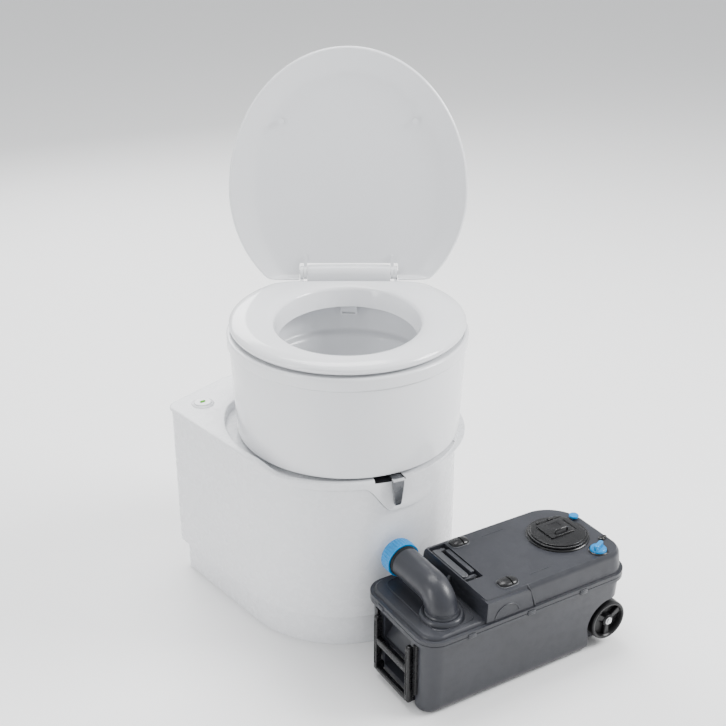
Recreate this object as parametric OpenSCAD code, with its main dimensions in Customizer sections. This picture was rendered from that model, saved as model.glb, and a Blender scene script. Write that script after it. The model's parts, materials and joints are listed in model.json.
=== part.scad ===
// Cassette toilet for a caravan: a swivelling bowl on a floor-standing base,
// and the wheeled waste cassette standing in front of it.
// The origin is on the floor under the bowl's swivel axis. The base faces -Y.

/* [Base] */
// Half width of the base, also the radius of its round front
base_r = 188; // [180:1:196]
// Sideways offset of the base from the swivel axis
base_cx = -20; // [-24:1:-14]
// Y of the two rear corners of the base
corner_y = 217; // [205:1:230]
// Y of the flat rear panel
back_y = 243; // [236:1:260]
// Height of the recessed plinth
plinth_h = 60; // [50:1:70]
// Height of the deck behind the bowl
deck_z = 316; // [314:1:320]
// Wall thickness of the base mouldings
wall = 4; // [3:0.5:5]

/* [Bowl, seat and lid] */
// Angle by which the bowl is turned from the base's front
bowl_yaw = -40; // [-50:5:50]
// Height of the bowl's top rim
rim_z = 470; // [468:1:472]
// Half width of the rim band
rim_w = 190.5; // [188:0.5:192]
// How far the open lid leans from its closed position, in degrees
lid_open = 100; // [90:1:104]
// Half width of the lid
lid_w = 199; // [197:1:202]
// Length of the lid in front of its hinge
lid_len = 372; // [368:1:376]

/* [Blade lever] */
// Angle of the lever from the base's front at rest
lever_rest = -18; // [-20:1:-10]
// Radius of the lever paddle's middle
lever_r = 205; // [204:1:208]

/* [Cassette] */
// Length of the cassette's tank
tank_l = 370; // [366:1:376]
// Width of the cassette over its flange
tank_w = 180; // [176:1:182]
// Height of the cassette's deck
tank_h = 172; // [168:1:176]
// Height of the seam between the two halves
seam_z = 128; // [124:1:132]
// Radius of the wheels
wheel_r = 33; // [30:1:34]
// Position of the near bottom corner on the floor
cassette_at = [-147, -362]; // [-400:1:400]
// Angle of the cassette's length from +X
cassette_yaw = -9; // [-12:1:-6]

/* [Hidden] */

base_cy = -2;               // centre of the round front
corner_r = 18;              // rounding of the rear corners
rake = 11.5;                // slope of the raked rear panels, degrees
well_z = 300;               // floor of the round well that the bowl turns in
well_r = 200;               // radius of that well
plate_t = 4;                // thickness of the deck plate
lip_out = 3;                // how far the deck's lip stands proud of the casing
lip_z = 303;                // top of the lip where the bowl overhangs it
lip_h = 11.5;               // height of the lip at the front
nose_drop = 45;             // how far the nose hangs below the lip
nose_span = [-118, -92];    // angles where the nose starts and where it starts to end
plinth_in = 12;             // recess of the plinth
tray_t = 8;                 // thickness of the floor tray
bay = [-130, 90, 250];      // left, right and top of the cassette bay
hub_r = 57.95;              // running radius of the bowl's hub
bore_r = 58;                // bore that the hub turns in
collar_r = 84;              // collar that the lever ring turns on
gap = 0.3;                  // working gap between moving pieces
bowl_z = 307;               // lower edge of the bowl shell
band_z = 450;               // seam between the bowl shell and the rim band
ring_n = 64;                // points round each oval section
hinge = [170, 497];         // Y and Z of the seat hinge, bowl turned to the front
pin_r = 4;                  // hinge pin and wheel axle
cover_w = 70;               // half width of the hinge cover
lug_t = 5.4;                // thickness of a hinge lug
seat_z = 473.5;             // underside of the seat
seat_back = 150;            // rear edge of the seat
skirt_z = 455;              // lower edge of the seat's inner skirt
lid_cy = hinge[0] - 137;    // widest line of the lid when closed
button_at = [-162, 182];    // flush button
lever_z = [257, 301];       // paddle, bottom and top
inlet_at = [-150, 120];     // X and Z of the water inlet
screw_dx = 300;             // floor screw spacing across
screw_dy = 130;             // floor screw spacing along
screw_y = 95;               // middle of the floor screws
spout_at = [52, 50];        // swivel axis of the spout, cassette coordinates
spout_r = 24;               // outer radius of the spout
spout_bend = 31;            // centreline radius of the elbow
shelf_z = 140;              // low shelf that carries the spout
step_x = 98;                // front of the raised deck
mouth_at = [300, 92];       // centre of the cassette's mouth
knob_at = [326, 26];        // blade knob
vent_at = [354, 117];       // vent button
axle_at = [343, 46];        // X and Z of the wheel axle
arch_r = 42;                // wheel arch
groove_y = [44, 130];       // middle of each pull handle groove
pocket = [104, 134, 62, 164];   // carry handle pocket, x and y limits
handle_axis = [128, 163];   // X and Z of the carry handle's pivot
float_at = [152, 124];      // X and Z of the level float's pivot
screw_hole_r = 3;           // floor screw holes
pump_at = [-165, 95];       // flush pump
guide_x = [-120, 74];       // left edges of the two guides in the bay
guide_h = 22;               // height of those guides
hook_at = [352, 48];        // stop hook beside the mouth
clip_at = [[154, 154], [154, 30]];   // domed clips on the cassette's deck
foot_at = [[40, 24], [40, 150], [250, 24], [250, 150]];   // feet under the cassette
handle_x = [106, 118.4];    // carry handle's bar
handle_y = [72, 160];       // carry handle over its arms
skin = 3;                   // wall thickness of the cassette
valve_r = 47;               // slide cover
mouth_r = 38;               // hole of the mouth
blade_z = 161;              // underside of the blade
$fn = 64;

// ---------- outlines ----------

function arc(c, r, a0, a1, n) =
    [for (i = [0:n]) let (a = a0 + (a1 - a0) * i / n) [c[0] + r * cos(a), c[1] + r * sin(a)]];

function smooth(x) = let (t = min(1, max(0, x))) t * t * (3 - 2 * t);

// Rear part of the base plan: two rounded corners and the raked panels.
function rear_points(o) = concat(
    arc([base_cx + base_r - corner_r, corner_y - corner_r], corner_r + o, 0, 90 - rake, 5),
    [[base_cx + 60, back_y + o], [base_cx - 60, back_y + o]],
    arc([base_cx - base_r + corner_r, corner_y - corner_r], corner_r + o, 90 + rake, 180, 5));

// The whole base plan as a closed list of points, counter-clockwise.
function plan_points(o) = concat(
    arc([base_cx, base_cy], base_r + o, 180, 357, 59),
    [for (y = [0, 40, 80, 112, 117, 122, 160]) [base_cx + base_r + o, y]],
    rear_points(o),
    [for (y = [160:-40:0]) [base_cx - base_r - o, y]]);

module base_plan(o) {
    polygon(plan_points(o));
}

// One oval section: half width w, front and rear reach, height z, widest line cy, rear cut.
function oval(w, front, rear, z, cy = 0, cut = 1000) =
    [for (i = [0:ring_n - 1])
        let (a = 360 * (i + 0.5) / ring_n, s = sin(a))
        [w * cos(a), min(cut, cy + (s > 0 ? rear - cy : front + cy) * s), z]];

// Rounded rectangle section with its own radius at each corner:
// [x1 y0], [x1 y1], [x0 y1], [x0 y0].
function slab(x0, x1, y0, y1, z, r, n = 5) = [for (p = concat(
    arc([x1 - r[0], y0 + r[0]], r[0], -90, 0, n), arc([x1 - r[1], y1 - r[1]], r[1], 0, 90, n),
    arc([x0 + r[2], y1 - r[2]], r[2], 90, 180, n), arc([x0 + r[3], y0 + r[3]], r[3], 180, 270, n)))
    [p[0], p[1], z]];

// Solid through a stack of sections; closed = true joins the last section to the first.
module loft(rings, closed = false) {
    n = len(rings[0]);
    m = len(rings);
    sides = [for (k = [0:m - (closed ? 1 : 2)], i = [0:n - 1])
        let (a = k * n, b = ((k + 1) % m) * n, j = (i + 1) % n) [a + i, b + i, b + j, a + j]];
    caps = closed ? [] : [[for (i = [0:n - 1]) i], [for (i = [n - 1:-1:0]) (m - 1) * n + i]];
    polyhedron([for (r = rings) each r], concat(sides, caps), convexity = 8);
}

module ring(r0, r1, z0, z1) {
    translate([0, 0, z0]) linear_extrude(z1 - z0) difference() {
        circle(r = r1);
        circle(r = r0);
    }
}

module block(x0, x1, y0, y1, z0, z1) {
    translate([x0, y0, z0]) cube([x1 - x0, y1 - y0, z1 - z0]);
}

module rod_y(x, z, r, y0, y1) {
    translate([x, y0, z]) rotate([-90, 0, 0]) cylinder(r = r, h = y1 - y0);
}

module rod_x(y, z, r, x0, x1) {
    translate([x0, y, z]) rotate([0, 90, 0]) cylinder(r = r, h = x1 - x0);
}

// Tube along a list of points, with one ring of sides at each.
module hose(path, r, sides = 10) {
    last = len(path) - 1;
    loft([for (k = [0:last])
        let (t = path[min(last, k + 1)] - path[max(0, k - 1)], d = t / norm(t),
             u = cross([0.3, 1, 0.1], d) / norm(cross([0.3, 1, 0.1], d)), v = cross(d, u))
        [for (i = [0:sides - 1]) path[k] + r * (cos(360 * i / sides) * u + sin(360 * i / sides) * v)]]);
}

module in_bowl() {
    rotate([0, 0, bowl_yaw]) children();
}

module in_lid() {
    in_bowl() translate([0, hinge[0], hinge[1]]) rotate([-lid_open, 0, 0])
        translate([0, -hinge[0], -hinge[1]]) children();
}

module in_cassette() {
    translate(cassette_at) rotate([0, 0, cassette_yaw]) children();
}

// ---------- base ----------

module floor_tray() {
    color("lightgrey") difference() {
        linear_extrude(tray_t) base_plan(-plinth_in - wall);
        for (sx = [-1, 1], sy = [-1, 1])
            translate([base_cx + sx * screw_dx / 2, screw_y + sy * screw_dy / 2, -1])
                cylinder(r = screw_hole_r, h = tray_t + 2);
    }
}

module plinth() {
    color("whitesmoke") difference() {
        linear_extrude(plinth_h) difference() {
            base_plan(-plinth_in);
            base_plan(-plinth_in - wall);
        }
        block(bay[0], bay[1], 150, 300, tray_t, plinth_h + 1);
    }
}

// Angle round the front: -180 at the left side, -90 in the middle, 0 at the right.
function round_angle(p) = atan2(p[1] - base_cy, p[0] - base_cx);

// The nose that hangs below the lip at the front, 0 to 1: steep on its left, long on its right.
function nose(p) = p[1] > base_cy ? 0
    : smooth((round_angle(p) - nose_span[0]) / 14) * (1 - smooth((round_angle(p) - nose_span[1]) / 42));

// Edges of the deck's lip at a point of the plan. The lip is low where the bowl overhangs it.
function front_turn(p) = p[1] > base_cy ? 1 : smooth((abs(round_angle(p) + 90) - 66) / 18);
function lip_top(p) = lip_z + (deck_z - lip_z) * smooth((norm(p) - 202) / 5) * front_turn(p);
function lip_low(p) = lip_top(p) - lip_h + 6 * smooth((p[1] + 60) / 220) - nose_drop * nose(p);
function casing_top(p) = lip_top(p) - 4.5;

// A section that follows the plan at offset o, with its height taken from the point beneath.
function plan_ring(o, z) = let (p = plan_points(o)) [for (i = [0:len(p) - 1]) [p[i][0], p[i][1], z[i]]];

// A section at radius r[i] from the swivel axis, in the direction of each plan point.
function radial_ring(r, z) = let (p = plan_points(0))
    [for (i = [0:len(p) - 1]) [p[i][0] * r[i] / norm(p[i]), p[i][1] * r[i] / norm(p[i]), z[i]]];

module base_casing() {
    p = plan_points(0);
    low = [for (q = p) plinth_h];
    shelf = [for (q = p) plinth_h + wall];
    top = [for (q = p) casing_top(q)];
    color("white") difference() {
        loft([plan_ring(0, low), plan_ring(0, top), plan_ring(-wall, top), plan_ring(-wall, shelf),
            plan_ring(-plinth_in - wall, shelf), plan_ring(-plinth_in - wall, low)], true);
        block(bay[0], bay[1], 150, 300, plinth_h - 1, bay[2]);
        rod_y(inlet_at[0], inlet_at[1], 6, 200, 260);
    }
}

module deck_cover() {
    p = plan_points(0);
    inner = plan_points(-wall - 0.4);
    top = [for (q = p) lip_top(q)];
    low = [for (q = p) lip_low(q)];
    under = [for (q = p) lip_top(q) - 4.4];
    floor = [for (q = p) well_z];
    base = [for (q = p) well_z - plate_t];
    well = [for (q = p) min(well_r, norm(q) - 9)];
    rib = [for (q = inner) min(well_r + 3.4, norm(q) - 2.4)];
    bulge = [for (q = p) lip_out + 0.5 * nose(q)];
    outer = [for (i = [0:len(p) - 1]) plan_points(bulge[i])[i]];
    bore = [for (q = p) bore_r - 3];
    color("white") difference() {
        loft([
            [for (i = [0:len(p) - 1]) [outer[i][0], outer[i][1], low[i]]],
            [for (i = [0:len(p) - 1]) [outer[i][0], outer[i][1], top[i] - 1]],
            plan_ring(lip_out - 1, top), radial_ring(well, top), radial_ring(well, floor),
            radial_ring(bore, floor), radial_ring(bore, base), radial_ring(rib, base),
            radial_ring(rib, under), plan_ring(-wall - 0.3, under), plan_ring(0.2, under),
            plan_ring(0.2, low)], true);
        translate([button_at[0], button_at[1], deck_z - 20]) cylinder(r = 14.6, h = 40);
        translate([0, 0, well_z - 20]) cylinder(r = bore_r + 2, h = 40);
        rotate([0, 0, -118]) rotate_extrude(angle = 56) translate([160, well_z + 0.2]) square([60, 20]);
    }
}

module bay_guides() {
    color("silver") for (x = guide_x)
        block(x, x + 6, -120, 190, tray_t, tray_t + guide_h);
}

module swivel_bearing() {
    color("gainsboro") rotate_extrude() polygon([[bore_r, well_z - plate_t], [bore_r + 2, well_z - plate_t],
        [bore_r + 2, well_z], [collar_r, well_z], [collar_r, well_z + 5], [bore_r, well_z + 5]]);
}

module drop_funnel() {
    color("darkgrey") rotate_extrude() polygon([[80, 296], [90, 296], [90, 292], [81, 290],
        [58, 200], [54, 200], [54, 204], [77, 291], [77, 296]]);
}

module mouth_seal() {
    color("dimgray") rotate_extrude() polygon([[46, 184], [50, 184], [54, 192], [58, 196],
        [58, 200], [50, 200], [50, 194]]);
}

module button_bezel() {
    color("white") translate(button_at) ring(14.6, 19, deck_z, deck_z + 2.5);
}

module flush_button() {
    color("white") translate(button_at) {
        translate([0, 0, deck_z - 8]) cylinder(r = 14.3, h = 12);
        translate([0, 0, deck_z - 21]) cylinder(r = 3, h = 14);
    }
}

module button_led() {
    color("limegreen") translate(button_at) block(-4, 4, -1.8, 1.8, deck_z + 4, deck_z + 4.8);
}

module control_box() {
    color("dimgray") block(base_cx - base_r + wall, -138, 140, 196, 256, 292);
}

module flush_pump() {
    color("dimgray") translate([pump_at[0], pump_at[1], tray_t]) {
        cylinder(r = 24, h = 60);
        translate([0, 0, 60]) cylinder(r = 16, h = 26);
        translate([0, 0, 86]) cylinder(r = 6, h = 12);
    }
}

module flush_hose() {
    color("silver") hose([[pump_at[0], pump_at[1], 106], [pump_at[0], pump_at[1], 130], [-165, 93, 160],
        [-163, 86, 190], [-157, 72, 216], [-146, 52, 240], [-130, 31, 259], [-113, 13, 272],
        [-101, 3, 281], [-97, 0, 289], [-97, 0, 296]], 6);
}

module water_inlet() {
    color("dimgray") {
        rod_y(inlet_at[0], inlet_at[1], 5, back_y - 7, back_y + 22);
        rod_y(inlet_at[0], inlet_at[1], 5.8, back_y - 30, back_y - 7);
        rod_y(inlet_at[0], inlet_at[1], 11, back_y - 45, back_y - 30);
        block(base_cx - base_r + wall, inlet_at[0] + 12, back_y - 75, back_y - 45,
            inlet_at[1] - 18, inlet_at[1] + 18);
    }
}

// ---------- blade lever ----------

module lever_ring() {
    color("slategray") difference() {
        union() {
            translate([0, 0, well_z + gap]) cylinder(r = 100, h = 3.7);
            rotate([0, 0, lever_rest]) block(-8, 8, -lever_r, -90, well_z + gap, well_z + 4);
        }
        translate([0, 0, well_z - 1]) cylinder(r = collar_r + 0.05, h = 10);
    }
}

module lever_paddle() {
    top = lever_z[1] + 3;
    low = lever_z[0];
    color("slategray") rotate([0, 0, lever_rest]) difference() {
        intersection() {
            block(-9, 9, -lever_r - 6, -lever_r + 8, low, top);
            ring(lever_r - 4, lever_r + 4, low, top);
            translate([0, 20 - lever_r, 0]) rotate([90, 0, 0]) linear_extrude(40)
                polygon([[-9, top], [-9, top - 15], [-5.5, low + 4], [-3.5, low],
                    [3.5, low], [5.5, low + 4], [9, top - 15], [9, top]]);
        }
        block(-8, 8, -lever_r, -lever_r + 12, well_z + gap, well_z + 4);
    }
}

// ---------- bowl ----------

module turntable_hub() {
    color("gainsboro") in_bowl() rotate_extrude() polygon([[52, 290], [hub_r, 290], [hub_r, 305 + gap],
        [150, 305 + gap], [150, bowl_z], [138, bowl_z], [138, bowl_z + 2], [52, bowl_z + 2]]);
}

module retaining_ring() {
    color("dimgray") in_bowl() ring(hub_r, 70, 290, well_z - plate_t - gap);
}

module bowl_shell() {
    color("white") in_bowl() loft([
        oval(180, 198, 188, bowl_z), oval(187, 195, 198, band_z),
        oval(183, 191, 194, band_z), oval(176.5, 194, 184, bowl_z + 5),
        oval(139, 139, 139, bowl_z + 4), oval(139, 139, 139, bowl_z)], true);
}

module rim_band() {
    r = rim_w;
    color("white") in_bowl() loft([
        oval(r, 197, 203, band_z), oval(r, 197, 203, rim_z - 2), oval(r - 1.5, 195.5, 201.5, rim_z),
        oval(r - 7, 190, 196, rim_z), oval(r - 7, 190, 196, rim_z - 8),
        oval(r - 12.5, 184.5, 190.5, rim_z - 8), oval(r - 12.5, 184.5, 190.5, band_z)], true);
}

module bowl_liner() {
    color("white") in_bowl() difference() {
        loft([
            oval(183, 189.5, 195.5, rim_z - 8), oval(183, 189.5, 195.5, rim_z), oval(146, 160, 150, rim_z),
            oval(141, 153, 145, 404), oval(131, 142, 134, 398), oval(118, 124, 120, 352),
            oval(78, 78, 78, 326), oval(46, 46, 46, 314), oval(46, 46, 46, 290),
            oval(50, 50, 50, 290), oval(50, 50, 50, 311), oval(80, 80, 80, 322),
            oval(121.5, 127.5, 123.5, 348.5), oval(135, 146, 138, 394), oval(145, 157, 149, 400),
            oval(150, 164, 154, rim_z - 8)], true);
        rod_y(0, 444, 6, 120, 175);
    }
}

module flush_nozzle() {
    color("gainsboro") in_bowl() difference() {
        union() {
            rod_y(0, 444, 6, 138, 160);
            block(-14, 14, 130, 138, 436, 452);
        }
        rod_y(0, 444, 4, 134, 161);
        block(-11, 11, 129, 134, 438, 442);
    }
}

module flush_pipe() {
    color("silver") in_bowl() {
        rod_y(0, 444, 6, 160, 174);
        translate([0, 168, 330]) cylinder(r = 6, h = 110);
    }
}

module hinge_cover() {
    color("white") in_bowl() difference() {
        union() {
            rod_x(hinge[0], hinge[1], 14, -cover_w, cover_w);
            block(-cover_w, cover_w, hinge[0] - 13, hinge[0] + 13, rim_z, hinge[1]);
        }
        rod_x(hinge[0], hinge[1], pin_r, -cover_w - 1, cover_w + 1);
    }
}

module hinge_pin() {
    color("silver") in_bowl() rod_x(hinge[0], hinge[1], pin_r, -83, 83);
}

module lug(x, arm_z0, arm_z1) {
    rod_x(hinge[0], hinge[1], 11, x, x + lug_t);
    block(x, x + lug_t, seat_back - 3, hinge[0], arm_z0, arm_z1);
}

module seat() {
    back = seat_back;
    x = cover_w + lug_t + 1.2;
    color("white") in_bowl() difference() {
        union() {
            loft([
                oval(184, 190, 200, seat_z, 12, back - 2), oval(187.5, 193.5, 203, seat_z + 4, 12, back),
                oval(187, 193, 202, seat_z + 9, 12, back), oval(180, 186, 196, seat_z + 14.5, 12, back - 2),
                oval(163, 172, 180, seat_z + 18, 6, back - 4),
                oval(132, 160, 136, seat_z + 17.5, -8, back - 8),
                oval(116, 150, 126, seat_z + 13, -13), oval(110, 143, 119, skirt_z, -13),
                oval(114, 147, 123, skirt_z, -13), oval(121, 155, 131, seat_z, -13)], true);
            for (side = [x, -x - lug_t]) lug(side, 478, 489);
        }
        rod_x(hinge[0], hinge[1], pin_r + 0.05, -100, 100);
    }
}

module seat_bumpers() {
    color("dimgray") in_bowl() for (p = [[-120, -95], [120, -95], [-150, 70], [150, 70]])
        translate([p[0], p[1], rim_z + 0.4]) cylinder(r = 7, h = seat_z - rim_z - 0.4);
}

module lid() {
    rear = 2 * lid_cy + lid_len - hinge[0] - 32;
    w = lid_w;
    f = lid_len - hinge[0];
    x = cover_w + 0.6;
    color("white") in_lid() difference() {
        union() {
            difference() {
                loft([
                    oval(w - 38, f - 38, rear, 498, lid_cy, 178),
                    oval(w - 3, f - 3, rear, 484.5, lid_cy, 179),
                    oval(w, f, rear, 487, lid_cy, 182), oval(w, f, rear, 492, lid_cy, 182),
                    oval(w - 6, f - 6, rear, 500, lid_cy, 181.5),
                    oval(w - 44, f - 44, rear, 506, lid_cy, 181)]);
                block(-83.5, 83.5, hinge[0] - 16, 200, 470, 520);
            }
            for (side = [x, -x - lug_t]) lug(side, 494, 502);
        }
        rod_x(hinge[0], hinge[1], pin_r + 0.05, -100, 100);
    }
}

module lid_bumpers() {
    color("gainsboro") in_lid() for (x = [-110, 110])
        translate([x, -82, 492.4]) cylinder(r = 5, h = 498 - 492.4);
}

// ---------- cassette ----------

module wheel_arches(extra) {
    for (y = [[-10, 32 + extra], [148 - extra, 190]]) {
        rod_y(axle_at[0], axle_at[1], arch_r + extra, y[0], y[1]);
        block(axle_at[0], 400, y[0], y[1], -5, axle_at[1] + arch_r + extra);
        block(axle_at[0] - arch_r + 4 - extra, 400, y[0], y[1], -5, axle_at[1] - 18);
    }
}

module grooves(extra) {
    for (y = groove_y)
        block(-1, 170 + extra, y - 6 - extra, y + 6 + extra, -1, 27 + extra);
}

// Hand space behind the pull handle: a sloped recess above its bar and a square one below.
module hand_recess(extra) {
    y1 = groove_y[1] - 8 + extra;
    y0 = groove_y[0] + 8 - extra;
    rotate([90, 0, 0]) translate([0, 0, -y1]) linear_extrude(y1 - y0) {
        polygon([[-1, 112 + extra], [20 + extra, 112 + extra], [20 + extra, 100],
            [3 + extra, 74 - extra], [-1, 74 - extra]]);
        polygon([[-1, 58 + extra], [18 + extra, 58 + extra], [18 + extra, 24 - extra], [-1, 24 - extra]]);
    }
}

// Outline of the flange where the halves meet, moved inwards by an amount.
module flange(z, h, inward = 0) {
    r = [34, 66, 34, 34] - [inward, inward, inward, inward];
    edge = slab(inward - 6, tank_l + 6 - inward, inward, tank_w - inward, 0, r);
    translate([0, 0, z]) linear_extrude(h) polygon([for (p = edge) [p[0], p[1]]]);
}

module tank_lower() {
    l = tank_l;
    w = tank_w - 5;
    color("dimgray") in_cassette() difference() {
        union() {
            loft([slab(0, l - 14, 12, w - 7, 3, [20, 20, 22, 22]),
                slab(0, l - 8, 8, w - 3, 12, [24, 24, 26, 26]),
                slab(0, l, 5, w, seam_z, [28, 60, 30, 30])]);
            flange(seam_z - 6, 6);
        }
        wheel_arches(0);
        grooves(0);
        hand_recess(0);
        difference() {
            loft([slab(skin, l - 12, 14, w - 9, 7, [20, 20, 22, 22]),
                slab(skin, l - skin, 8, w - 3, seam_z + 1, [26, 56, 28, 28])]);
            wheel_arches(skin);
            grooves(skin);
            hand_recess(skin);
            rod_y(axle_at[0], axle_at[1], pin_r + 4, 0, tank_w);
        }
        rod_y(axle_at[0], axle_at[1], pin_r, 0, tank_w);
    }
}

module tank_gasket() {
    color("black") in_cassette() difference() {
        flange(seam_z, 1, 1.5);
        flange(seam_z - 1, 3, 9);
    }
}

module tank_upper() {
    z0 = seam_z + 1;
    l = tank_l;
    w = tank_w - 5;
    color("dimgray") in_cassette() difference() {
        union() {
            flange(z0, 6);
            loft([slab(-1, l, 4, w, z0, [28, 60, 28, 28]),
                slab(2, l - 2, 7, w - 3, shelf_z, [28, 60, 26, 26])]);
            loft([slab(step_x, l, 4, w, z0 + 2, [28, 62, 3, 3]),
                slab(step_x + 2, l - 4, 8, w - 4, tank_h - 3, [26, 62, 3, 3]),
                slab(step_x + 4, l - 7, 11, w - 7, tank_h, [24, 60, 3, 3])]);
        }
        block(pocket[0], pocket[1], pocket[2], pocket[3], 150, 200);
        difference() {
            union() {
                loft([slab(3, l - 3, 8, w - 3, z0 - 1, [26, 56, 28, 28]),
                    slab(5, l - 5, 10, w - 6, shelf_z - skin, [26, 56, 24, 24])]);
                loft([slab(step_x + 3, l - 4, 9, w - 4, z0, [26, 58, 2, 2]),
                    slab(step_x + 5, l - 8, 12, w - 8, tank_h - skin, [24, 58, 2, 2])]);
            }
            block(pocket[0] - 2, pocket[1] + 2.5, pocket[2] - 2.5, pocket[3] + 2, 147.5, 200);
        }
        translate([spout_at[0], spout_at[1], 130]) cylinder(r = 20, h = 30);
        translate([mouth_at[0], mouth_at[1], 160]) cylinder(r = mouth_r, h = 30);
        translate([knob_at[0], knob_at[1], 160]) cylinder(r = 5.05, h = 30);
        translate([vent_at[0], vent_at[1], 160]) cylinder(r = 3.3, h = 30);
    }
}

module skid_feet() {
    color("black") in_cassette() for (p = foot_at)
        block(p[0] - 18, p[0] + 18, p[1] - 6, p[1] + 6, 0, 3);
}

module spout_collar() {
    color("dimgray") in_cassette() translate(spout_at) ring(26.05, 33, shelf_z, shelf_z + 7);
}

module elbow_solid(r) {
    z0 = shelf_z + 4;
    cylinder(r = r, h = z0);
    translate([0, spout_bend, z0]) rotate([90, 0, -90]) rotate_extrude(angle = 90)
        translate([spout_bend, 0]) circle(r = r);
    translate([0, spout_bend, z0 + spout_bend]) rotate([-90, 0, 0]) cylinder(r = r, h = 88);
}

module spout_elbow() {
    color("dimgray") in_cassette() translate(spout_at) difference() {
        union() {
            elbow_solid(spout_r);
            translate([0, 0, shelf_z + gap]) cylinder(r = 26, h = 9);
        }
        elbow_solid(spout_r - 3);
        translate([0, spout_bend + 80, shelf_z + 4 + spout_bend]) rotate([-90, 0, 0])
            cylinder(r = spout_r - 3, h = 20);
        translate([0, 0, -1]) cylinder(r = 40, h = shelf_z + gap + 1);
    }
}

module on_spout_axis() {
    in_cassette() translate([spout_at[0], spout_at[1] + spout_bend, shelf_z + 4 + spout_bend])
        rotate([-90, 0, 0]) children();
}

module spout_cap() {
    color("deepskyblue") on_spout_axis() {
        difference() {
            translate([0, 0, 72]) cylinder(r = 27.5, h = 22);
            translate([0, 0, 71]) cylinder(r = spout_r + 0.3, h = 20);
        }
        for (a = [0:20:359]) rotate([0, 0, a]) translate([27.2, 0, 75]) cylinder(r = 1, h = 16, $fn = 16);
    }
}

module cap_gasket() {
    color("black") on_spout_axis() ring(18, 23.5, 88.6, 91);
}

module mouth_frame() {
    color("black") in_cassette() translate(mouth_at) ring(42, 50, tank_h, tank_h + 3);
}

module lip_seal() {
    color("dimgray") in_cassette() translate(mouth_at) ring(mouth_r, 42, tank_h, tank_h + 2.6);
}

module slide_cover() {
    z = tank_h + 3 + gap;
    color("black") in_cassette() translate(mouth_at) difference() {
        union() {
            translate([0, 0, z]) cylinder(r = valve_r, h = 5);
            block(0, 40, -28, 38, z, z + 5);
            block(-22, 22, -14, 24, z + 5, z + 7.5);
        }
        block(-60, 60, 38, 60, z - 1, z + 9);
    }
}

module cover_latch() {
    z = tank_h + 3 + gap + 7.5;
    color("black") in_cassette() translate(mouth_at) {
        block(-13, -10, -10, -6, z, z + 4);
        block(10, 13, -10, -6, z, z + 4);
        block(-13, 13, -10, -6, z + 4, z + 6.5);
    }
}

module blade_guides() {
    y = mouth_at[1];
    color("dimgray") in_cassette() {
        for (at = [y - 49, y + 45]) block(170, 348, at, at + 4, blade_z - 5, tank_h - skin);
        for (at = [y - 46, y + 38]) block(170, 348, at, at + 8, blade_z - 5, blade_z - 0.4);
    }
}

module mouth_blade() {
    color("black") in_cassette() translate([mouth_at[0], mouth_at[1], blade_z]) {
        cylinder(r = 42, h = 3);
        block(-40, 0, -42, 42, 0, 3);
    }
}

module blade_knob() {
    color("deepskyblue") in_cassette() translate(knob_at) {
        translate([0, 0, 150]) cylinder(r = 5, h = tank_h - 150 + 4);
        translate([0, 0, tank_h + gap]) cylinder(r = 13, h = 6);
        intersection() {
            translate([0, 0, tank_h + 5]) cylinder(r = 12.5, h = 9);
            block(-15, 15, -4, 4, tank_h + 5, tank_h + 13);
        }
    }
}

module vent_button() {
    color("deepskyblue") in_cassette() translate([vent_at[0], vent_at[1], tank_h + 3.3]) {
        cylinder(r = 8, h = 3.5);
        translate([0, 0, -7.3]) cylinder(r = 3.2, h = 7.8);
    }
}

module vent_valve() {
    color("black") in_cassette() translate([vent_at[0], vent_at[1], tank_h - 7.5])
        cylinder(r = 6, h = 3.5);
}

module cover_hook() {
    color("black") in_cassette() translate([hook_at[0], hook_at[1], tank_h]) {
        cylinder(r = 5, h = 3);
        block(0, 9, -2.5, 2.5, 1, 4);
    }
}

module deck_clips() {
    color("black") in_cassette() for (p = clip_at) difference() {
        rod_x(p[1], tank_h - 6, 13, p[0] - 16, p[0] + 16);
        block(p[0] - 40, p[0] + 40, p[1] - 30, p[1] + 30, 100, tank_h);
    }
}

module carry_handle() {
    x = handle_axis[0];
    z = handle_axis[1];
    color("gray") in_cassette() difference() {
        union() {
            block(handle_x[0], handle_x[1], handle_y[0] + 6, handle_y[1] - 6, z - 1, z + 8.5);
            for (y = [handle_y[0], handle_y[1] - 6]) {
                rod_y(x, z, 5, y, y + 6);
                block(handle_x[0], x, y, y + 6, z - 1, z + 5);
            }
        }
        rod_y(x, z, 2.5, 60, 175);
    }
}

module handle_pins() {
    color("silver") in_cassette() {
        rod_y(handle_axis[0], handle_axis[1], 2.45, pocket[2], 80);
        rod_y(handle_axis[0], handle_axis[1], 2.45, 152, pocket[3]);
    }
}

module float_bracket() {
    x = float_at[0];
    color("dimgray") in_cassette() {
        block(x - 4, x + 4, 76, 84, float_at[1] - 4, tank_h - 3);
        rod_y(x, float_at[1], 2, 84, 100);
    }
}

module level_float() {
    x = float_at[0];
    z = float_at[1];
    color("orange") in_cassette() difference() {
        union() {
            rod_y(x, z, 5, 88, 94);
            block(x - 2, x + 2, 88, 94, z - 64, z);
            block(x - 14, x + 14, 78, 104, z - 94, z - 64);
        }
        rod_y(x, z, 2.05, 80, 100);
    }
}

module wheel_axle() {
    color("silver") in_cassette() rod_y(axle_at[0], axle_at[1], pin_r, 3, tank_w - 3);
}

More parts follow.
